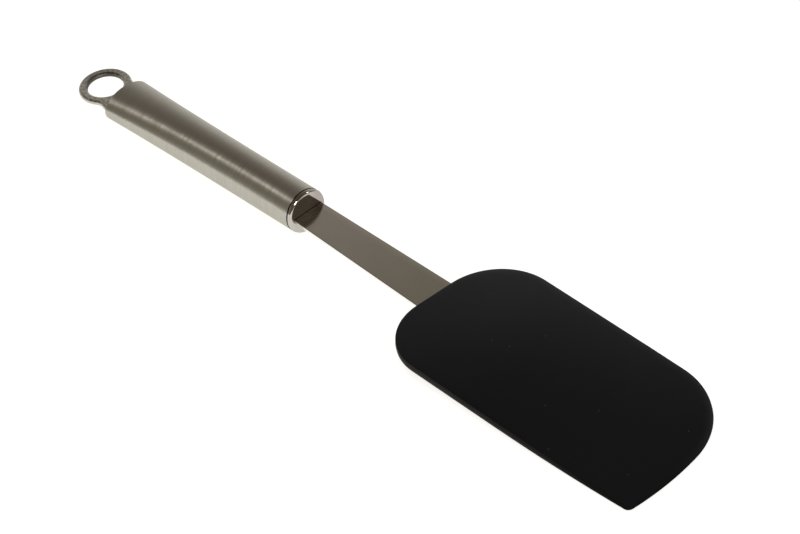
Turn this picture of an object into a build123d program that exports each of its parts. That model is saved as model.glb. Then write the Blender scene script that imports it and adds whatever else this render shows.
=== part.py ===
from build123d import *
from math import asin, atan2, cos, degrees, hypot, sqrt
import os

# A silicone spatula lying on a table. The tool runs along X with its tip at +X, its width is along Y,
# and Z is up. The origin is on the table, below the middle of the whole length. Lengths are in millimetres.
# Stations along the tool count from the handle's front rim: positive towards the tip, negative to the rear.

# Handle tube: round in front, pressed oval towards the rear
handle_length = 106.0
handle_radius = 9.0
handle_wall = 1.0
mouth_half_width = 10.9
mouth_half_height = 6.75
flare_power = 2.5
flare_shares = (0, 0.25, 0.45, 0.6, 0.75, 0.88, 1)
rear_rim_round = 0.45
front_rim_round = 0.2

# Front cap: a drawn cup that closes the handle and carries the shank
cap_gap = 0.3
cap_nose_length = 1.55
cap_shoulder = 1.3
cap_wall = 1.0
cap_skirt_length = 6.0

# Shank: the flat bar from inside the handle into the blade
shank_thickness = 1.4
shank_drop = 0.15
shank_width_at_cap = 14.0
shank_width_at_blade = 16.8
shank_edge_round = 0.3
tang_length = 34.0
tang_width = 12.0
tongue_length = 40.0
tongue_end_round = 5.5

# Collar that steadies the tang inside the handle
collar_station = 27.0
collar_thickness = 3.0

# Hanging loop: a stamped ring with a neck, and a tang inside the handle
loop_thickness = 1.8
loop_rise = 0.4
loop_standoff = 12.6
ring_radius = 10.7
hole_radius = 7.15
neck_half_width = 8.8
shoulder_half_width = 9.9
neck_flare_length = 4.4
neck_round = 4.0
loop_edge_round = 0.3
loop_top_round = 0.9
hole_top_round = 1.1
loop_tang_half_width = 7.0
loop_tang_length = 14.0

# Rear cap: the oval disc that closes the handle's rear mouth
rear_cap_thickness = 1.2

# Silicone blade
blade_root = 71.6
root_slant = 1.7
blade_reach = 201.3
blade_width = 63.6
blade_thickness = 3.4
tip_thickness = 1.4
taper_start = 145.0
blade_edge_round = 0.6
near_root_radius = 21.6
far_root_radius = 25.4
far_corner_radius = 32.8
near_corner_radius = 2.5
end_bow_radius = 118.0
end_bow_offset = 14.5
near_drift_start = 130.0
near_drift = 1.5

# Stiffener plate inside the silicone, with the holes that key the rubber through it
core_thickness = 1.0
core_margin = 7.0
core_end = 150.0
core_corner_radius = 12.0
key_hole_radius = 3.0
key_hole_pitch = 15.0
key_row_offset = 15.0
key_rows_start = 96.0
key_row_count = 4

# Flush rivets through the shank's tongue and the stiffener
rivet_radius = 1.5
rivet_head_radius = 2.2
rivet_head_depth = 0.45
rivet_inset = 7.0
rivet_count = 3

# Clearances, and how far a cut runs past what it cuts
seat_clearance = 0.05
slot_clearance = 0.1
overrun = 1.0

# An edge is level when its direction rises by less than this share of its run
level_share = 0.5

# The blade's tip and the handle's belly lie on the same table, which sets how far the shank slopes down
shank_height = handle_radius - shank_drop
blade_half = blade_thickness / 2
tip_half = tip_thickness / 2
taper_length = blade_reach - taper_start
taper_drop = blade_half - tip_half
taper_radius = hypot(taper_length, taper_drop) ** 2 / (2 * taper_drop)
rest_reach = blade_reach - blade_edge_round
rest_half = blade_half - taper_radius + sqrt(taper_radius**2 - (rest_reach - taper_start) ** 2)
slope = asin(shank_height / hypot(rest_reach, rest_half)) - atan2(rest_half, rest_reach)

# The stiffener's rear edge runs straight across, past the whole of the slanted root
core_start = blade_root + root_slant + core_margin

# The middle of the whole length becomes X zero
ring_station = -handle_length - loop_standoff
tail_station = ring_station - ring_radius
tip_station = blade_reach * cos(slope)
middle_station = (tail_station + tip_station) / 2

# Where the handle's pieces and the sloping pieces lie: to_frame moves both kinds into the final frame
at_slope = Location((0, 0, shank_height), (0, degrees(slope), 0))
at_mouth = Location((-handle_length, 0, handle_radius + loop_rise))
to_frame = Location((-middle_station, 0, 0))


def is_level(edge):
    """True for an edge that runs more along the tool or across it than up."""
    return abs(edge.tangent_at().Z) < level_share


def outer_half_sizes(station):
    """Half width and half height of the handle's outside at a station from the front rim."""
    share = (-station / handle_length) ** flare_power
    half_width = handle_radius + (mouth_half_width - handle_radius) * share
    half_height = handle_radius + (mouth_half_height - handle_radius) * share
    return half_width, half_height


def oval(station, half_width, half_height):
    """A round or oval face across the handle at a station, centred on the handle's centre line."""
    across = Plane(origin=(station, 0, handle_radius), x_dir=(0, 1, 0), z_dir=(1, 0, 0))
    if half_width == half_height:
        return across * Circle(half_width)
    return across * Ellipse(half_width, half_height)


def handle_body(inset):
    """The handle's outer shape, drawn in all round by inset."""
    sections = []
    for share in flare_shares:
        station = -handle_length * share
        half_width, half_height = outer_half_sizes(station)
        sections.append(oval(station, half_width - inset, half_height - inset))
    return loft(sections)


def bore_plug(rear_station, length):
    """A plug that fills the handle's bore from one station forwards, less the seat clearance."""
    rear_width, rear_height = outer_half_sizes(rear_station)
    front_width, front_height = outer_half_sizes(rear_station + length)
    half_width = min(rear_width, front_width) - handle_wall - seat_clearance
    half_height = min(rear_height, front_height) - handle_wall - seat_clearance
    return extrude(oval(rear_station, half_width, half_height), length)


def handle_tube():
    """The hollow grip, with both outer rims rounded."""
    tube = handle_body(0) - handle_body(handle_wall)
    rear_face = tube.faces().sort_by(Axis.X)[0]
    rear_edge = rear_face.edges().sort_by(SortBy.LENGTH)[-1]
    tube = fillet(rear_edge, rear_rim_round)
    front_face = tube.faces().sort_by(Axis.X)[-1]
    front_edge = front_face.edges().sort_by(SortBy.LENGTH)[-1]
    return fillet(front_edge, front_rim_round)


def front_cap():
    """The drawn cup in the handle's front, with its slot for the shank."""
    skirt_radius = handle_radius - handle_wall - seat_clearance
    hollow_radius = skirt_radius - cap_wall
    nose = cap_gap + cap_nose_length
    with BuildSketch(Plane.XZ) as half:
        with BuildLine():
            Polyline(
                (-cap_skirt_length, hollow_radius),
                (-cap_skirt_length, skirt_radius),
                (cap_gap, skirt_radius),
                (cap_gap, handle_radius),
                (nose, handle_radius),
                (nose, 0),
                (nose - cap_wall, 0),
                (nose - cap_wall, hollow_radius),
                close=True,
            )
        make_face()
        shoulder = half.vertices().sort_by(lambda v: v.X + v.Y)[-1]
        fillet(shoulder, cap_shoulder)
        back = half.vertices().group_by(Axis.Y)[-1].sort_by(Axis.X)[0]
        fillet(back, front_rim_round)
    cup = Location((0, 0, handle_radius)) * revolve(half.sketch, Axis.X)
    return cup - at_slope * shank_bar(slot_clearance)


def shank_width(station):
    """Width of the shank between the handle and the blade."""
    return shank_width_at_cap + (shank_width_at_blade - shank_width_at_cap) * station / blade_root


def shank_bar(grow):
    """The shank between tang and tongue, flat in its own frame, drawn out by grow on every side."""
    back = -cap_skirt_length / 2
    half_back = shank_width(back) / 2 + grow
    half_front = shank_width_at_blade / 2 + grow
    outline = Polyline(
        (back, -half_back),
        (blade_root, -half_front),
        (blade_root, half_front),
        (back, half_back),
        close=True,
    )
    return extrude(make_face(outline), shank_thickness / 2 + grow, both=True)


def tang_bar(grow):
    """The shank's tang inside the handle, flat in its own frame, drawn out by grow on every side."""
    length = tang_length - cap_skirt_length / 2
    middle = -(tang_length + cap_skirt_length / 2) / 2
    return Location((middle, 0, 0)) * Box(length, tang_width + 2 * grow, shank_thickness + 2 * grow)


def tongue_bar():
    """The shank's tongue under the silicone, with a rounded end, flat in its own frame."""
    length = tongue_length + tongue_end_round
    with BuildSketch() as tongue:
        with Locations((blade_root + tongue_length - length / 2, 0)):
            RectangleRounded(length, shank_width_at_blade, tongue_end_round)
        with Locations((blade_root - length / 2, 0)):
            Rectangle(length, shank_width_at_blade + overrun, mode=Mode.SUBTRACT)
    return extrude(tongue.sketch, shank_thickness / 2, both=True)


def rivet(station):
    """One flush rivet through tongue and stiffener: a shaft with a sunk cone at each end."""
    top = shank_thickness / 2
    bottom = -core_thickness
    profile = Polyline(
        (0, bottom),
        (rivet_head_radius, bottom),
        (rivet_radius, bottom + rivet_head_depth),
        (rivet_radius, top - rivet_head_depth),
        (rivet_head_radius, top),
        (0, top),
        close=True,
    )
    upright = Plane.XZ * make_face(profile)
    return Location((station, 0, 0)) * revolve(upright, Axis.Z)


def rivet_row():
    """The rivets, spread evenly along the lap of tongue and stiffener, flat in the shank's frame."""
    first = core_start + rivet_inset
    last = blade_root + tongue_length - rivet_inset
    pitch = (last - first) / (rivet_count - 1)
    return [rivet(first + pitch * number) for number in range(rivet_count)]


def drilled(piece):
    """The piece with the rivets' holes cut through it."""
    for hole in rivet_row():
        piece = piece - hole
    return piece


def shank_blank():
    """The whole bar before drilling: tang, bar and tongue, half lapped where the stiffener lies."""
    bar = shank_bar(0) + tang_bar(0)
    long_edges = bar.edges().filter_by(lambda e: e.length > tang_length / 2 and is_level(e))
    bar = fillet(long_edges, shank_edge_round) + tongue_bar()
    lap_width = shank_width_at_blade + overrun
    lap = Box(tongue_length, lap_width, shank_thickness, align=(Align.MIN, Align.CENTER, Align.MAX))
    return bar - Location((core_start, 0, 0)) * lap


def blade_outline():
    """The blade seen from above: a slanted root, three round corners, a sharp one and a bowed end."""
    half = blade_width / 2
    near_root = blade_root - root_slant
    far_root = blade_root + root_slant
    largest_round = half - blade_edge_round
    bow_centre = blade_reach - end_bow_radius
    far_rise = half + end_bow_offset
    near_rise = half - near_drift - end_bow_offset
    far_end = bow_centre + sqrt(end_bow_radius**2 - far_rise**2)
    near_end = bow_centre + sqrt(end_bow_radius**2 - near_rise**2)
    with BuildSketch() as blade:
        with BuildLine():
            Line((near_root, -half), (far_root, half))
            Line((far_root, half), (far_end, half))
            ThreePointArc((far_end, half), (blade_reach, -end_bow_offset), (near_end, near_drift - half))
            TangentArc((near_drift_start, -half), (near_end, near_drift - half), tangent=(1, 0))
            Line((near_root, -half), (near_drift_start, -half))
        make_face()
        near_corner = blade.vertices().sort_by(Axis.X)[0]
        fillet(near_corner, min(near_root_radius, largest_round))
        far_side = blade.vertices().group_by(Axis.Y)[-1]
        fillet(far_side.sort_by(Axis.X)[0], min(far_root_radius, largest_round))
        end_corners = blade.vertices().filter_by(lambda v: v.X > near_end - overrun)
        fillet(end_corners.sort_by(Axis.Y)[0], near_corner_radius)
        far_corner = blade.vertices().sort_by(lambda v: v.X + v.Y)[-1]
        fillet(far_corner, far_corner_radius)
    return blade.sketch


def blade_body():
    """The blade's outer shape, flat in its own frame, thinner towards the tip."""
    start = blade_root - overrun
    stop = blade_reach + overrun
    with BuildSketch(Plane.XZ) as side:
        with BuildLine():
            Line((start, blade_half), (taper_start, blade_half))
            TangentArc((taper_start, blade_half), (blade_reach, tip_half), tangent=(1, 0))
            Line((blade_reach, tip_half), (stop, tip_half))
            Line((stop, tip_half), (stop, -tip_half))
            Line((stop, -tip_half), (blade_reach, -tip_half))
            TangentArc((taper_start, -blade_half), (blade_reach, -tip_half), tangent=(1, 0))
            Line((taper_start, -blade_half), (start, -blade_half))
            Line((start, -blade_half), (start, blade_half))
        make_face()
    slab = extrude(blade_outline(), blade_thickness, both=True)
    body = slab & extrude(side.sketch, blade_width, both=True)
    rims = body.edges().filter_by(lambda e: is_level(e) and abs(e.center().Y) > overrun)
    return fillet(rims, blade_edge_round)


def core_blank():
    """The stiffener before drilling: the blade's outline drawn in and cut short, with keying holes."""
    keep_length = core_end - core_start
    keep = Location((core_start + keep_length / 2, 0)) * Rectangle(keep_length, blade_width)
    plate = offset(blade_outline(), -core_margin) & keep
    front_corners = plate.vertices().group_by(Axis.X)[-1]
    core = extrude(fillet(front_corners, core_corner_radius), -core_thickness)
    for number in range(key_row_count):
        station = key_rows_start + key_hole_pitch * number
        for side in (-1, 1):
            hole = Cylinder(key_hole_radius, 2 * (core_thickness + overrun))
            core = core - Location((station, side * key_row_offset, 0)) * hole
    return core


def blade_skin():
    """The silicone, moulded round the stiffener and the shank's tongue with their rivets in place."""
    return blade_body() - shank_blank() - core_blank()


def tang_collar():
    """The disc in the handle's bore that the tang passes through."""
    return bore_plug(-collar_station, collar_thickness) - at_slope * tang_bar(slot_clearance)


def loop_plate():
    """The loop seen from above, with its hole: ring, waisted neck and flared shoulder."""
    rim = -handle_length
    flare = rim - neck_flare_length
    with BuildSketch() as loop:
        with Locations((ring_station, 0)):
            Circle(ring_radius)
        with BuildLine():
            Polyline(
                (ring_station, -neck_half_width),
                (flare, -neck_half_width),
                (rim, -shoulder_half_width),
                (rim, shoulder_half_width),
                (flare, neck_half_width),
                (ring_station, neck_half_width),
                close=True,
            )
        make_face()
        waists = loop.vertices().filter_by(lambda v: ring_station < v.X < rim - overrun)
        fillet(waists, neck_round)
        with Locations((ring_station, 0)):
            Circle(hole_radius, mode=Mode.SUBTRACT)
    return loop.sketch


def outside_rims(plate, level):
    """The edges of the loop's underside (level 0) or top (level -1) that lie outside the handle."""
    edges = plate.edges().group_by(Axis.Z)[level]
    return edges.filter_by(lambda e: e.center().X < -handle_length - overrun)


def hanging_loop():
    """The stamped loop, well rounded on top and softened below, with a plain tang inside the handle."""
    plate = extrude(loop_plate(), loop_thickness / 2, both=True)
    plate = fillet(outside_rims(plate, 0), loop_edge_round)
    plate = fillet(outside_rims(plate, -1).filter_by(lambda e: e.is_closed), hole_top_round)
    plate = fillet(outside_rims(plate, -1).filter_by(lambda e: not e.is_closed), loop_top_round)
    tang_size = (loop_tang_length, 2 * loop_tang_half_width, loop_thickness)
    tang = Box(*tang_size, align=(Align.MIN, Align.CENTER, Align.CENTER))
    plate = plate + Location((-handle_length, 0, 0)) * tang
    return Location((0, 0, handle_radius + loop_rise)) * plate


def rear_cap():
    """The oval disc in the handle's rear mouth, with its slot for the loop's tang."""
    slot_length = 2 * (rear_cap_thickness + overrun)
    slot_width = 2 * (loop_tang_half_width + slot_clearance)
    slot = Box(slot_length, slot_width, loop_thickness + 2 * slot_clearance)
    return bore_plug(-handle_length, rear_cap_thickness) - at_mouth * slot


def write(name, *solids):
    """Writes one named piece, or a group of like pieces, in the final frame."""
    placed = [to_frame * solid for solid in solids]
    export_step(placed[0] if len(placed) == 1 else Compound(children=placed), f"parts/{name}.step")


os.makedirs("parts", exist_ok=True)
write("handle_tube", handle_tube())
write("front_cap", front_cap())
write("tang_collar", tang_collar())
write("rear_cap", rear_cap())
write("hanging_loop", hanging_loop())
write("shank", at_slope * drilled(shank_blank()))
write("blade_core", at_slope * drilled(core_blank()))
write("core_rivets", *[at_slope * one for one in rivet_row()])
write("blade_skin", at_slope * blade_skin())

print("slope in degrees", round(degrees(slope), 3))
print("hole centre at X", round(ring_station - middle_station, 4), "Z", handle_radius + loop_rise)
print("handle front rim at X", round(-middle_station, 4), "shank height there", round(shank_height, 4))
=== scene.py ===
from math import asin, atan2, cos, hypot, pi, radians, sin, sqrt, tan

import bpy
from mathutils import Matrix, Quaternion, Vector
from mathutils.geometry import delaunay_2d_cdt


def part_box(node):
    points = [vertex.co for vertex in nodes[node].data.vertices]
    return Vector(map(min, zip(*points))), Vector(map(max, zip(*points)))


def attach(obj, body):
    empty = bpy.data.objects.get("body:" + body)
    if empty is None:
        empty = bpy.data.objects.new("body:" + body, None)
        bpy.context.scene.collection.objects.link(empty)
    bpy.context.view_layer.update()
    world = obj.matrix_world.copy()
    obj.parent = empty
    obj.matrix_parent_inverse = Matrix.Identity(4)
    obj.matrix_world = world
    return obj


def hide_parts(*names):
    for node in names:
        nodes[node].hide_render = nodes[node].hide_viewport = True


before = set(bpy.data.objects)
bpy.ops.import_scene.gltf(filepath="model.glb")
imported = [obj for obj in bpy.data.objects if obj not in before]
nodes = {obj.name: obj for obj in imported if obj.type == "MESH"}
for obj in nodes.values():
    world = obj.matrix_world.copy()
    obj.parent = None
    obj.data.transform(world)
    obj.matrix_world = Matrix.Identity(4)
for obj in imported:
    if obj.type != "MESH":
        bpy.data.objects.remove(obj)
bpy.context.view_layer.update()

# Lengths are in metres, and those of the tool are written in millimetres
mm = 0.001

# Camera: its place from the handle's front rim, its angles in degrees, its focal length in picture widths
camera_from_rim = (0.93193, -0.6573, 0.9512)
camera_azimuth = 53.2
camera_elevation = 40.62
camera_roll = -9.345
focal_widths = 4.9155
sensor_width = 36
clip_range = (0.05, 20)

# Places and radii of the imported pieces
tube_low, tube_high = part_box("handle_tube")
loop_low, loop_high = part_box("hanging_loop")
rim_x = tube_high.x
nose_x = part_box("front_cap")[1].x
tube_radius = (tube_high.z - tube_low.z) / 2
ring_radius = (loop_high.y - loop_low.y) / 2
ring_x = loop_low.x + ring_radius

# Sizes shared with the construction
cap_gap = 0.3 * mm
hole_radius = 7.15 * mm
shank_drop = 0.15 * mm
shank_half_widths = (7.0 * mm, 8.4 * mm)

# Blade, as in the construction: stations count from the handle's front rim
blade_root = 71.6 * mm
root_slant = 1.7 * mm
blade_reach = 201.3 * mm
blade_width = 63.6 * mm
blade_thickness = 3.4 * mm
tip_thickness = 1.4 * mm
taper_start = 145.0 * mm
blade_edge_round = 0.6 * mm
near_root_radius = 21.6 * mm
far_root_radius = 25.4 * mm
far_corner_radius = 32.8 * mm
near_corner_radius = 2.5 * mm
end_bow_radius = 118.0 * mm
end_bow_offset = 14.5 * mm
near_drift_start = 130.0 * mm
near_drift = 1.5 * mm

# Mould line round the blade's edge, and how the blade's mesh is made
mould_line_height = 0.1 * mm
mould_line_half_width = 0.16 * mm
outline_step = 0.8 * mm
round_steps = 6
least_arc_steps = 3
least_line_steps = 2
grid_step = 3.0 * mm
keep_inside = 1
merge_distance = 1e-7

# Finishes: a noise has its grain's size along each axis, a relief a real depth, a range a start and an end
white = (1, 1, 1, 1)
quarter_turn = 0.25
noise_span = (0.3, 0.7)
edge_tint = (0.72, 0.72, 0.72, 1)
# Painted shade: a near-black colour laid in the joints between handle, cap and shank, where shade falls
joint_shade = (0.012, 0.010, 0.009, 1)

# Handle tube
tube_steel = ((0.460, 0.446, 0.390, 1), (0.560, 0.543, 0.482, 1))
tube_fine = dict(size=(0.24 * mm, 20 * mm, 20 * mm), detail=3.0, rough=0.6)
tube_coarse = dict(size=(0.8 * mm, 36 * mm, 36 * mm), detail=5.0, rough=0.7)
tube_roughness = (0.26, 0.44)
tube_relief = dict(depth=0.004 * mm, strength=0.6)
tube_joint_range = (rim_x - 0.28 * mm, rim_x - 0.12 * mm)

# Front cap
cap_steel = (0.49, 0.475, 0.435, 1)
# Painted shade: the cap's far side is darker
cap_steel_far_shaded = (0.377, 0.345, 0.325, 1)
cap_far_range = (1 * mm, 5 * mm)
cap_smears = dict(size=(5.5 * mm, 8 * mm, 8 * mm), detail=3.0)
cap_roughness = (0.04, 0.09)
cap_joint_range = (rim_x + cap_gap + 0.05 * mm, rim_x + cap_gap + 0.2 * mm)

# Shank: its far range counts from its far edge
shank_steel = (0.62, 0.594, 0.566, 1)
shank_steel_by_blade = (0.474, 0.463, 0.420, 1)
# Painted highlight: the top is lighter along its far edge
shank_far_highlight = (1.2, 1.2, 1.21, 1)
shank_far_range = (-3 * mm, -0.3 * mm)
shank_grain = dict(size=(16 * mm, 0.3 * mm, 0.3 * mm), detail=3.0, rough=0.6)
shank_clouds = dict(size=(14 * mm, 14 * mm, 14 * mm), detail=3.0)
shank_cloud_share = 0.12
shank_roughness = (0.12, 0.17)
shank_relief = dict(depth=0.001 * mm, strength=0.3)
shank_joint_range = (nose_x + 0.1 * mm, nose_x + 0.3 * mm)
cut_steel = (0.86, 0.85, 0.83, 1)
# Painted shade: the cut sides are darker by the cap
cut_steel_shaded_by_cap = (0.46, 0.44, 0.39, 1)
cut_range = (nose_x + 4.5 * mm, nose_x + 7 * mm)
cut_facing = (0.6, 0.95)

# Hanging loop: its hole's reaches count from the hole's centre line
loop_steel = ((0.21, 0.203, 0.174, 1), (0.80, 0.798, 0.735, 1))
loop_pits = dict(size=(1.3 * mm, 1.3 * mm, 1.3 * mm), detail=4.0, rough=0.7)
loop_dents = dict(size=(2.4 * mm, 2.4 * mm, 2.4 * mm))
loop_roughness = (0.24, 0.38)
loop_relief = dict(depth=0.05 * mm, strength=0.5)
loop_wall_steel = (0.53, 0.505, 0.475, 1)
loop_wall_facing = (0.2, 0.6)
# Painted shade: darker towards the loop's rear and far side
loop_far_shade = (0.72, 0.71, 0.70, 1)
shade_rearward = 0.9
shade_aside = 0.45
shade_range = (3 * mm, 8.5 * mm)
# Painted shade: the hole's wall, and a band round the hole towards the rear, are dark
hole_wall_shade = (0.15, 0.145, 0.125, 1)
hole_wall_reach = (hole_radius + 0.02 * mm, hole_radius + 0.15 * mm)
hole_shade_colour = (0.13, 0.122, 0.108, 1)
hole_shade_reach = (hole_radius + 0.1 * mm, hole_radius + 1.2 * mm)
hole_shade_range = (ring_x - 5 * mm, ring_x - 0.5 * mm)
hole_roughness = 0.6

# Hidden pieces
hidden_steel = (0.52, 0.51, 0.49, 1)
hidden_grain = dict(size=(1.25 * mm, 1.25 * mm, 1.25 * mm), detail=3.0)
hidden_roughness = (0.38, 0.52)
hidden_relief = dict(depth=0.01 * mm, strength=0.3)

# Silicone, bare and under its painted sheen, and on its sides, where a painted reflection fades to painted
# shade at the tip
rubber_dark = (0.0106, 0.0114, 0.0126, 1)
rubber_sheen = (0.0385, 0.0410, 0.0445, 1)
rubber_ior = 1.1
rubber_grain = dict(size=(0.38 * mm, 0.38 * mm, 0.38 * mm), detail=3.0, rough=0.6)
rubber_roughness = (0.46, 0.58)
rubber_relief = dict(depth=0.012 * mm, strength=0.35)
# Painted reflection on the sides by the root, fading to painted shade at the tip
side_reflection_by_root = (0.0300, 0.0290, 0.0275, 1)
side_shade_by_tip = (0.0040, 0.0040, 0.0040, 1)
side_range = (50 * mm, 150 * mm)
side_facing = (0.35, 0.85)

# Painted sheen: over the whole blade towards its far rear, at the tip, by the root's near side, along the far
# rim
sheen_turn = 0.5
sheen_clouds = dict(size=(36 * mm, 36 * mm, 36 * mm))
sheen_shift = 4 * mm
sheen_range = (-95 * mm, 3 * mm)
sheen_power = 2.6
tip_sheen = 0.06
tip_range = (95 * mm, 145 * mm)
root_sheen = 0.16
root_range = (35 * mm, 90 * mm)
root_near_range = (-25 * mm, 10 * mm)
rim_sheen = 0.8
rim_range = (-8 * mm, 20 * mm)
rim_width = 4 * mm
rim_power = 2.2

# Dust: its colour, the spacing of its cells, the size of a speck, and how readily a cell has one
dust_colour = (0.06, 0.06, 0.06, 1)
dust_pitch = 14 * mm
dust_radius = 0.36 * mm
dust_share = 0.36
dust_fade = 0.12

# Table: half its side, its colour, and its even glow, which the tool's lower sides mirror
table_half = 1.6
table_colour = (0.5, 0.5, 0.5, 1)
table_roughness = 0.9
table_glow = (1, 0.99, 0.965, 1)
table_strength = 0.86

# Lights: directions in degrees from +X towards +Y and above the table, sizes in metres, powers in watts
lights = {
    "overhead": dict(
        azimuth=-40, elevation=80, distance=1.5, size=1.8,
        power=10, colour=(1, 0.985, 0.96), glossy=False,
    ),
    "front_light": dict(
        azimuth=-17, elevation=26, distance=1.6, size=0.1,
        power=14.5, colour=(1, 0.97, 0.92), diffuse=False,
    ),
    "cap_far_light": dict(
        azimuth=48, elevation=27, distance=1.6, size=0.22,
        power=1.3, colour=(1, 0.98, 0.95), only="front_cap",
    ),
    "cap_near_light": dict(
        azimuth=-17, elevation=28, distance=1.6, size=0.36,
        power=7, colour=(1, 0.98, 0.95), only="front_cap",
    ),
}

# Room: brightness by height, across the tool and ahead of it, tint by brightness, what the camera sees
room_by_height = {0.0: 1.0, 0.41: 0.88, 0.54: 0.67, 0.65: 0.40, 0.8: 0.18, 1.0: 0.1}
room_sides = (-0.8, 0.8)
room_side_shares = (0.21, 0.77)
room_front = (0.05, 0.55)
room_front_share = 0.27
room_darkest = 0.05
room_tints = {
    0.0: (0.0, 0.0, 0.0),
    0.08: (0.08, 0.0645, 0.050),
    0.16: (0.16, 0.137, 0.104),
    0.27: (0.27, 0.244, 0.202),
    0.64: (0.64, 0.62, 0.59),
    1.0: (1.0, 0.98, 0.95),
}
room_far_tint = (1.0, 0.984, 1.012, 1)
room_seen = (0.93, 0.93, 0.92, 1)

# Heights and lengths that follow from the sizes above
shank_height = tube_radius - shank_drop
blade_half = blade_thickness / 2
tip_half = tip_thickness / 2
taper_length = blade_reach - taper_start
taper_drop = blade_half - tip_half
taper_radius = hypot(taper_length, taper_drop) ** 2 / (2 * taper_drop)


def half_thickness(station):
    """Half the blade's thickness at a station: even at first, then thinner towards the tip."""
    past = station - taper_start
    if past <= 0:
        return blade_half
    return blade_half - taper_radius + sqrt(taper_radius**2 - past**2)


# The blade slopes so that the lower edge of its tip rests on the table
rest_reach = blade_reach - blade_edge_round
rest_half = half_thickness(rest_reach)
slope = asin(shank_height / hypot(rest_reach, rest_half)) - atan2(rest_half, rest_reach)


def place_blade(x, y, z):
    """A point of the flat blade, at its sloping place in the frame."""
    ahead = rim_x + x * cos(slope) + z * sin(slope)
    height = shank_height - x * sin(slope) + z * cos(slope)
    return Vector((ahead, y, height))


def arc_points(centre, radius, start, stop):
    """Points with outward normals along an arc from one angle to another, at even steps."""
    count = max(least_arc_steps, round(abs(stop - start) * radius / outline_step))
    points = []
    for number in range(count + 1):
        angle = start + (stop - start) * number / count
        normal = Vector((cos(angle), sin(angle)))
        points.append((Vector(centre) + radius * normal, normal))
    return points


def line_points(start, stop):
    """Points with outward normals between the ends of a line whose inside is on its left."""
    start, stop = Vector(start), Vector(stop)
    along = (stop - start).normalized()
    normal = Vector((along.y, -along.x))
    count = max(least_line_steps, round((stop - start).length / outline_step))
    return [(start.lerp(stop, number / count), normal) for number in range(1, count)]


def circles_meet(first, first_radius, second, second_radius):
    """The meeting point of two circles that lies on the left of the way from the first to the second."""
    first, second = Vector(first), Vector(second)
    way = second - first
    along = (way.length_squared + first_radius**2 - second_radius**2) / (2 * way.length)
    aside = sqrt(first_radius**2 - along**2)
    unit = way.normalized()
    return first + along * unit + aside * Vector((-unit.y, unit.x))


def angle_of(point, centre):
    """Direction of a point seen from a centre."""
    return atan2(point[1] - centre[1], point[0] - centre[0])


def rounded_corner(before, corner, after, radius):
    """Centre, first angle and last angle of the arc that rounds a corner, going round anticlockwise."""
    back, ahead = (before - corner).normalized(), (after - corner).normalized()
    half_angle = back.angle(ahead) / 2
    centre = corner + (back + ahead).normalized() * radius / sin(half_angle)
    reach = radius / tan(half_angle)
    start = angle_of(corner + back * reach, centre)
    stop = angle_of(corner + ahead * reach, centre)
    return centre, start, stop if stop > start else stop + 2 * pi


def blade_outline():
    """The blade's outline, anticlockwise from above: a slanted root, a bowed end and one sharp corner."""
    half = blade_width / 2
    bow = Vector((blade_reach - end_bow_radius, -end_bow_offset))
    near_end = bow.x + sqrt(end_bow_radius**2 - (half - near_drift - end_bow_offset) ** 2)
    drift_length = near_end - near_drift_start
    drift_radius = hypot(drift_length, near_drift) ** 2 / (2 * near_drift)
    drift = Vector((near_drift_start, drift_radius - half))
    sharp = circles_meet(drift, drift_radius - near_corner_radius, bow, end_bow_radius - near_corner_radius)
    far_y = half - far_corner_radius
    far_x = bow.x + sqrt((end_bow_radius - far_corner_radius) ** 2 - (far_y - bow.y) ** 2)
    far = Vector((far_x, far_y))
    near_side, far_side = Vector((near_drift_start, -half)), Vector((far_x, half))
    near_root, far_root = Vector((blade_root - root_slant, -half)), Vector((blade_root + root_slant, half))
    far_round = rounded_corner(far_side, far_root, near_root, far_root_radius)
    near_round = rounded_corner(far_root, near_root, near_side, near_root_radius)
    far_arc = arc_points(far_round[0], far_root_radius, *far_round[1:])
    near_arc = arc_points(near_round[0], near_root_radius, *near_round[1:])
    points = line_points(near_arc[-1][0], near_side)
    points += arc_points(drift, drift_radius, -pi / 2, angle_of(sharp, drift))[:-1]
    points += arc_points(sharp, near_corner_radius, angle_of(sharp, drift), angle_of(sharp, bow))
    points += arc_points(bow, end_bow_radius, angle_of(sharp, bow), angle_of(far, bow))[1:-1]
    points += arc_points(far, far_corner_radius, angle_of(far, bow), pi / 2)
    points += line_points(far_side, far_arc[0][0]) + far_arc
    points += line_points(far_arc[-1][0], near_arc[0][0]) + near_arc
    return points


def edge_profile(half):
    """Rings round the blade's edge from its top to its bottom, as pairs of inset and height."""
    inset = mould_line_height
    wall = half - blade_edge_round
    rings = []
    for number in range(round_steps + 1):
        angle = pi / 2 * (1 - number / round_steps)
        step = inset + (blade_edge_round - inset) * (1 - cos(angle))
        rings.append((step, wall + blade_edge_round * sin(angle)))
    rings.append((inset, mould_line_half_width))
    rings.append((0, 0))
    return rings + [(step, -height) for step, height in reversed(rings[:-1])]


def is_inside(spot, ring, margin):
    """True for a spot that lies inside a ring of points and at least the margin from each of them."""
    inside = False
    for number, here in enumerate(ring):
        before = ring[number - 1]
        if (here - spot).length < margin:
            return False
        if (here.y > spot.y) != (before.y > spot.y):
            if spot.x < here.x + (before.x - here.x) * (spot.y - here.y) / (before.y - here.y):
                inside = not inside
    return inside


def grid_spots(ring):
    """The spots of an even grid that lie inside a ring of points."""
    low_x, high_x = min(point.x for point in ring), max(point.x for point in ring)
    columns, rows = int((high_x - low_x) / grid_step), int(blade_width / grid_step)
    spots = []
    for column in range(1, columns):
        for row in range(1, rows):
            spot = Vector((low_x + column * grid_step, row * grid_step - blade_width / 2))
            if is_inside(spot, ring, grid_step / 2):
                spots.append(spot)
    return spots


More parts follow.
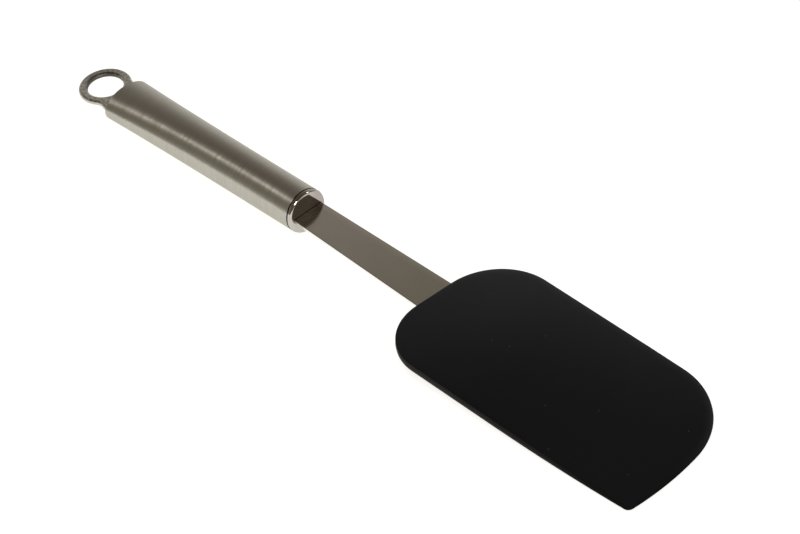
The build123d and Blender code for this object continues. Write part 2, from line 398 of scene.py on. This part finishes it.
def blade_mesh():
    """The silicone blade with rounded edges, a fine mould line and a thinner tip."""
    outline = blade_outline()
    count = len(outline)
    vertices, faces, insets = [], [], []
    ring_count = len(edge_profile(blade_half))
    for ring in range(ring_count):
        for point, normal in outline:
            inset, height = edge_profile(half_thickness(point.x))[ring]
            spot = point - normal * inset
            vertices.append(place_blade(spot.x, spot.y, height))
            insets.append(inset)
    for ring in range(ring_count - 1):
        for number in range(count):
            here, after = ring * count + number, ring * count + (number + 1) % count
            faces.append((here, here + count, after + count, after))
    inner = [point - normal * blade_edge_round for point, normal in outline]
    edges = [(number, (number + 1) % count) for number in range(count)]
    filled = delaunay_2d_cdt(inner + grid_spots(inner), edges, [], keep_inside, merge_distance)
    spots, _, triangles = filled[:3]
    for side, first_ring in ((1, 0), (-1, ring_count - 1)):
        numbers = []
        for number, spot in enumerate(spots):
            if number < count:
                numbers.append(first_ring * count + number)
            else:
                numbers.append(len(vertices))
                vertices.append(place_blade(spot.x, spot.y, side * half_thickness(spot.x)))
                insets.append(min((point - spot).length for point, normal in outline))
        for face in triangles:
            order = face if side > 0 else list(reversed(face))
            faces.append(tuple(numbers[number] for number in order))
    mesh = bpy.data.meshes.new("silicone_blade")
    mesh.from_pydata(vertices, [], faces)
    mesh.validate()
    mesh.polygons.foreach_set("use_smooth", [True] * len(mesh.polygons))
    mesh.attributes.new("inset", "FLOAT", "POINT").data.foreach_set("value", insets)
    mesh.update()
    return mesh


class Nodes:
    """A node tree, with short calls for the nodes that the finishes and the room need."""

    def __init__(self, tree):
        self.tree = tree

    def add(self, kind, settings=None, inputs=None):
        """Adds a node, sets its properties and fills or links its inputs."""
        node = self.tree.nodes.new(kind)
        for key, value in (settings or {}).items():
            setattr(node, key, value)
        for key, value in (inputs or {}).items():
            self.join(value, node.inputs[key])
        return node

    def join(self, value, socket):
        """Links a socket, or sets a plain value."""
        if isinstance(value, bpy.types.NodeSocket):
            self.tree.links.new(value, socket)
        else:
            socket.default_value = value

    def math(self, operation, first, second=0.0):
        """The result of a sum, a product or the like."""
        return self.add("ShaderNodeMath", {"operation": operation}, {0: first, 1: second}).outputs[0]

    def span(self, value, low, high, start=0.0, stop=1.0, smooth=False):
        """A value from start to stop, moved to low to high and kept between them."""
        kind = "SMOOTHSTEP" if smooth else "LINEAR"
        ends = {"Value": value, "From Min": start, "From Max": stop, "To Min": low, "To Max": high}
        return self.add("ShaderNodeMapRange", {"interpolation_type": kind}, ends).outputs["Result"]

    def mix(self, share, first, second, **settings):
        """A mixed colour. The mix node's colours are its inputs 6 and 7 and its output 2."""
        inputs = {0: share, 6: first, 7: second}
        return self.add("ShaderNodeMix", {"data_type": "RGBA", **settings}, inputs).outputs[2]

    def blend(self, share, first, second):
        """A colour between two colours, or past the second where the share is above 1."""
        return self.mix(share, first, second, clamp_factor=False)

    def multiply(self, first, second):
        """The product of two colours."""
        return self.mix(1.0, first, second, blend_type="MULTIPLY")

    def ramp(self, value, stops):
        """A colour by a value, from a table of places and colours."""
        node = self.add("ShaderNodeValToRGB", inputs={"Fac": value})
        elements = node.color_ramp.elements
        places = sorted(stops)
        elements[0].position, elements[1].position = places[0], places[-1]
        for place in places[1:-1]:
            elements.new(place)
        for element, place in zip(elements, places):
            element.color = (*stops[place], 1)
        return node.outputs["Color"]


class Finish(Nodes):
    """A material's nodes."""

    def __init__(self, name):
        self.material = bpy.data.materials.new(name)
        self.material.use_nodes = True
        super().__init__(self.material.node_tree)
        self.surface = self.tree.nodes["Principled BSDF"]

    def set(self, **inputs):
        """Sets or links inputs of the surface, whose names are written with underscores."""
        for key, value in inputs.items():
            self.join(value, self.surface.inputs[key.replace("_", " ")])

    def place(self, scale):
        """Places on the piece in the frame, stretched by a scale along each axis."""
        texture = self.add("ShaderNodeTexCoord")
        mapping = self.add("ShaderNodeMapping", inputs={"Vector": texture.outputs["Object"], "Scale": scale})
        return mapping.outputs["Vector"]

    def along(self, axis):
        """The place along one axis of the frame, in metres."""
        texture = self.add("ShaderNodeTexCoord")
        return self.add("ShaderNodeSeparateXYZ", inputs={"Vector": texture.outputs["Object"]}).outputs[axis]

    def facing(self, axis):
        """How far the surface faces one way or the other along an axis of the frame, from 0 to 1."""
        texture = self.add("ShaderNodeTexCoord")
        normal = self.add("ShaderNodeSeparateXYZ", inputs={"Vector": texture.outputs["Normal"]})
        return self.math("ABSOLUTE", normal.outputs[axis])

    def noise(self, size, detail=2.0, rough=0.5):
        """Noise from 0 to 1, whose grains have a size in metres along each axis."""
        scale = [1 / length for length in size]
        inputs = {"Vector": self.place(scale), "Scale": 1.0, "Detail": detail, "Roughness": rough}
        return self.add("ShaderNodeTexNoise", inputs=inputs).outputs["Fac"]

    def between(self, value, first, second):
        """Noise spread over two values or two colours."""
        if isinstance(first, tuple):
            return self.blend(self.span(value, 0, 1, *noise_span), first, second)
        return self.span(value, first, second, *noise_span)

    def bump(self, height, depth, strength):
        """A normal from a height of 0 to 1, where depth is the real depth."""
        inputs = {"Height": height, "Distance": depth, "Strength": strength}
        return self.add("ShaderNodeBump", inputs=inputs).outputs["Normal"]


def brushed_tube():
    """Steel brushed round the tube, so that highlights spread along it, with painted shade where it meets the
    cap.
    """
    finish = Finish("brushed_handle")
    fine = finish.noise(**tube_fine)
    coarse = finish.noise(**tube_coarse)
    streaks = finish.math("MULTIPLY", finish.math("ADD", fine, coarse), 0.5)
    # Painted shade in the joint with the cap
    joint = finish.span(finish.along("X"), 0, 1, *tube_joint_range)
    tangent = finish.add("ShaderNodeTangent", {"direction_type": "RADIAL", "axis": "X"})
    finish.set(
        Base_Color=finish.blend(joint, finish.between(coarse, *tube_steel), joint_shade),
        Metallic=1.0,
        Roughness=finish.between(streaks, *tube_roughness),
        Anisotropic=1.0,
        Anisotropic_Rotation=quarter_turn,
        Tangent=tangent.outputs["Tangent"],
        Specular_Tint=edge_tint,
        Normal=finish.bump(fine, **tube_relief),
    )
    return finish.material


def polished_cap():
    """Mirror polished steel with faint smears, with painted shade on its far side and in its joint with the
    handle.
    """
    finish = Finish("polished_cap")
    smears = finish.noise(**cap_smears)
    # Painted shade in the joint with the handle
    joint = finish.span(finish.along("X"), 1, 0, *cap_joint_range)
    # Painted shade towards the far side
    steel = finish.blend(finish.span(finish.along("Y"), 0, 1, *cap_far_range), cap_steel, cap_steel_far_shaded)
    finish.set(
        Base_Color=finish.blend(joint, steel, joint_shade),
        Metallic=1.0,
        Specular_Tint=edge_tint,
        Roughness=finish.between(smears, *cap_roughness),
    )
    return finish.material


def satin_shank():
    """Smooth sheet steel with a faint grain along the bar.

    It is darker towards the blade and has a painted highlight along its far edge. Its cut sides are bright
    past the cap and carry painted shade by the cap, and the bar has painted shade where it leaves the cap.
    """
    finish = Finish("satin_shank")
    grain = finish.noise(**shank_grain)
    clouds = finish.noise(**shank_clouds)
    away = finish.span(finish.along("X"), 0, 1, rim_x, rim_x + blade_root)
    tone = finish.math("ADD", away, finish.between(clouds, -shank_cloud_share, shank_cloud_share))
    steel = finish.blend(finish.span(tone, 0, 1), shank_steel, shank_steel_by_blade)
    half_width = finish.span(finish.along("X"), *shank_half_widths, rim_x, rim_x + blade_root)
    from_edge = finish.math("SUBTRACT", finish.along("Y"), half_width)
    # Painted highlight along the far edge
    far_edge = finish.span(from_edge, 0, 1, *shank_far_range)
    steel = finish.multiply(steel, finish.blend(far_edge, white, shank_far_highlight))
    # Painted shade on the cut sides by the cap, bright cut sides past it
    past_cap = finish.span(finish.along("X"), 0, 1, *cut_range)
    cut = finish.span(finish.facing("Y"), 0, 1, *cut_facing)
    steel = finish.blend(cut, steel, finish.blend(past_cap, cut_steel_shaded_by_cap, cut_steel))
    # Painted shade where the shank leaves the cap
    joint = finish.span(finish.along("X"), 1, 0, *shank_joint_range)
    finish.set(
        Base_Color=finish.blend(joint, steel, joint_shade),
        Metallic=1.0,
        Roughness=finish.between(grain, *shank_roughness),
        Normal=finish.bump(grain, **shank_relief),
    )
    return finish.material


def satin_loop():
    """Tumbled steel of the hanging loop, mottled and softly dented.

    It has painted shade towards its rear and far side, and round its hole it is rougher and carries painted
    shade.
    """
    finish = Finish("satin_loop")
    pits = finish.noise(**loop_pits)
    dents = finish.noise(**loop_dents)
    wall = finish.span(finish.facing("Z"), 1, 0, *loop_wall_facing)
    steel = finish.blend(wall, finish.between(pits, *loop_steel), loop_wall_steel)
    # Painted shade towards the rear and far side
    behind = finish.math("SUBTRACT", ring_x, finish.along("X"))
    rearward = finish.math("MULTIPLY", behind, shade_rearward)
    aside = finish.math("MULTIPLY", finish.along("Y"), shade_aside)
    far_shade = finish.span(finish.math("ADD", rearward, aside), 0, 1, *shade_range, smooth=True)
    steel = finish.multiply(steel, finish.blend(far_shade, white, loop_far_shade))
    spots = {0: finish.place((1, 1, 0)), 1: (ring_x, 0, 0)}
    from_axis = finish.add("ShaderNodeVectorMath", {"operation": "DISTANCE"}, spots).outputs["Value"]
    # Painted shade on the hole's wall and round the hole towards the rear
    hole_wall = finish.span(from_axis, 1, 0, *hole_wall_reach)
    by_hole = finish.span(from_axis, 1, 0, *hole_shade_reach)
    hole_shade_mask = finish.math("MULTIPLY", by_hole, finish.span(finish.along("X"), 1, 0, *hole_shade_range))
    dull = finish.span(finish.math("MAXIMUM", hole_wall, hole_shade_mask), 0, hole_roughness)
    steel = finish.blend(hole_wall, steel, hole_wall_shade)
    finish.set(
        Base_Color=finish.blend(hole_shade_mask, steel, hole_shade_colour),
        Metallic=1.0,
        Roughness=finish.math("MAXIMUM", finish.between(pits, *loop_roughness), dull),
        Normal=finish.bump(dents, **loop_relief),
    )
    return finish.material


def plain_steel():
    """Plain sheet steel of the pieces that are hidden inside."""
    finish = Finish("hidden_steel")
    grain = finish.noise(**hidden_grain)
    finish.set(
        Base_Color=hidden_steel,
        Metallic=1.0,
        Roughness=finish.between(grain, *hidden_roughness),
        Normal=finish.bump(grain, **hidden_relief),
    )
    return finish.material


def painted_sheen(finish):
    """How much painted sheen lies on the silicone: the sum of its four places."""
    clouds = finish.noise(**sheen_clouds)
    turned = finish.math("MULTIPLY", finish.along("X"), sheen_turn)
    across = finish.math("SUBTRACT", finish.along("Y"), turned)
    uneven = finish.math("ADD", across, finish.between(clouds, -sheen_shift, sheen_shift))
    total = finish.math("POWER", finish.span(uneven, 0, 1, *sheen_range), sheen_power)
    tip = finish.span(finish.along("X"), 0, tip_sheen, *tip_range, smooth=True)
    rearward = finish.span(finish.along("X"), root_sheen, 0, *root_range)
    root = finish.math("MULTIPLY", rearward, finish.span(finish.along("Y"), 1, 0, *root_near_range))
    inset = finish.add("ShaderNodeAttribute", {"attribute_name": "inset"}).outputs["Fac"]
    rim = finish.math("POWER", finish.span(inset, 1, 0, 0, rim_width), rim_power)
    far_rim = finish.math("MULTIPLY", rim, finish.span(finish.along("Y"), 0, rim_sheen, *rim_range))
    for share in (tip, root, far_rim):
        total = finish.math("ADD", total, share)
    return total


def dust(finish):
    """Specks of dust on a level piece: 1 on a speck, in some of the cells."""
    place = finish.place((1 / dust_pitch, 1 / dust_pitch, 1))
    cells = finish.add("ShaderNodeTexVoronoi", {"voronoi_dimensions": "2D"}, {"Vector": place, "Scale": 1.0})
    radius = dust_radius / dust_pitch
    near = finish.span(cells.outputs["Distance"], 1, 0, radius / 2, radius)
    chosen = finish.span(cells.outputs["Color"], 0, 1, 1 - dust_share, 1 + dust_fade - dust_share)
    return finish.math("MULTIPLY", near, chosen)


def matte_silicone():
    """Black silicone: a fine matte grain, a faint painted sheen, a painted reflection and painted shade on
    the sides, and specks of dust.
    """
    finish = Finish("matte_silicone")
    grain = finish.noise(**rubber_grain)
    # Painted sheen laid into the colour
    rubber = finish.blend(painted_sheen(finish), rubber_dark, rubber_sheen)
    # Painted reflection and painted shade on the sides
    side = finish.span(finish.facing("Z"), 1, 0, *side_facing)
    rearward = finish.span(finish.along("X"), 1, 0, *side_range)
    rubber = finish.blend(side, rubber, finish.blend(rearward, side_shade_by_tip, side_reflection_by_root))
    finish.set(
        Base_Color=finish.blend(dust(finish), rubber, dust_colour),
        Roughness=finish.between(grain, *rubber_roughness),
        IOR=rubber_ior,
        Normal=finish.bump(grain, **rubber_relief),
    )
    return finish.material


def dress(node, material):
    """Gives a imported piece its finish."""
    piece = nodes[node]
    piece.data.materials.clear()
    piece.data.materials.append(material)


def silicone_blade():
    """The blade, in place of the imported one."""
    blade = bpy.data.objects.new("silicone_blade", blade_mesh())
    bpy.context.scene.collection.objects.link(blade)
    blade.data.materials.append(matte_silicone())
    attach(blade, "root")
    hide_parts("blade_skin")


def table():
    """The pale table that the tool lies on."""
    mesh = bpy.data.meshes.new("table")
    mesh.from_pydata([(x, y, 0) for x, y in ((-1, -1), (1, -1), (1, 1), (-1, 1))], [], [(0, 1, 2, 3)])
    floor = bpy.data.objects.new("table", mesh)
    floor.scale = (table_half, table_half, 1)
    bpy.context.scene.collection.objects.link(floor)
    finish = Finish("pale_table")
    finish.set(
        Base_Color=table_colour,
        Roughness=table_roughness,
        Emission_Color=table_glow,
        Emission_Strength=table_strength,
    )
    mesh.materials.append(finish.material)


def area_light(name, azimuth, elevation, distance, size, power, colour, glossy=True, diffuse=True, only=None):
    """A square light that faces the tool.

    Without glossy nothing mirrors it, and without diffuse it is only mirrored.
    Where only names a piece, it lights that piece alone.
    """
    light = bpy.data.lights.new(name, "AREA")
    light.shape = "SQUARE"
    light.size = size
    light.energy = power
    light.color = colour
    lamp = bpy.data.objects.new(name, light)
    bpy.context.scene.collection.objects.link(lamp)
    turn, rise = radians(azimuth), radians(elevation)
    away = Vector((cos(turn) * cos(rise), sin(turn) * cos(rise), sin(rise)))
    lamp.location = away * distance
    lamp.rotation_mode = "QUATERNION"
    lamp.rotation_quaternion = (-away).to_track_quat("-Z", "Y")
    lamp.visible_glossy = glossy
    lamp.visible_diffuse = diffuse
    lamp.visible_camera = False
    if only:
        lit = bpy.data.collections.new(name)
        lit.objects.link(nodes[only])
        lamp.light_linking.receiver_collection = lit


def room():
    """The room: lighter near the horizon, most of all beyond the tool, and dark above and in front of it."""
    world = bpy.data.worlds.new("room")
    world.use_nodes = True
    world.node_tree.nodes.clear()
    bpy.context.scene.world = world
    tree = Nodes(world.node_tree)
    way = tree.add("ShaderNodeTexCoord").outputs["Generated"]
    ahead, aside, up = tree.add("ShaderNodeSeparateXYZ", inputs={"Vector": way}).outputs
    by_height = tree.ramp(up, {place: (share,) * 3 for place, share in room_by_height.items()})
    by_side = tree.span(aside, *room_side_shares, *room_sides)
    by_front = tree.span(ahead, 1, room_front_share, *room_front, smooth=True)
    light = tree.math("MULTIPLY", tree.math("MULTIPLY", by_height, by_side), by_front)
    tinted = tree.ramp(tree.math("ADD", light, room_darkest), room_tints)
    far_tint = tree.blend(tree.span(aside, 0, 1, *room_sides), white, room_far_tint)
    tinted = tree.multiply(tinted, far_tint)
    seen = tree.blend(tree.add("ShaderNodeLightPath").outputs["Is Camera Ray"], tinted, room_seen)
    back = tree.add("ShaderNodeBackground", inputs={"Color": seen})
    tree.add("ShaderNodeOutputWorld", inputs={"Surface": back.outputs["Background"]})


def camera():
    """The camera, at the photograph's angle."""
    lens = bpy.data.cameras.new("camera")
    lens.sensor_width = sensor_width
    lens.lens = focal_widths * sensor_width
    lens.clip_start, lens.clip_end = clip_range
    eye = bpy.data.objects.new("camera", lens)
    bpy.context.scene.collection.objects.link(eye)
    turn, rise = radians(camera_azimuth), radians(camera_elevation)
    back = Vector((sin(turn) * cos(rise), -cos(turn) * cos(rise), sin(rise)))
    eye.location = Vector(camera_from_rim) + Vector((rim_x, 0, 0))
    eye.rotation_mode = "QUATERNION"
    eye.rotation_quaternion = (-back).to_track_quat("-Z", "Y") @ Quaternion((0, 0, 1), radians(camera_roll))
    bpy.context.scene.camera = eye


dress("handle_tube", brushed_tube())
dress("front_cap", polished_cap())
dress("shank", satin_shank())
dress("hanging_loop", satin_loop())
hidden = plain_steel()
dress("rear_cap", hidden)
for node in ("tang_collar", "blade_core", "core_rivets"):
    dress(node, hidden)
silicone_blade()
table()
for name, place in lights.items():
    area_light(name, **place)
room()
camera()
bpy.context.scene.view_settings.view_transform = "Standard"
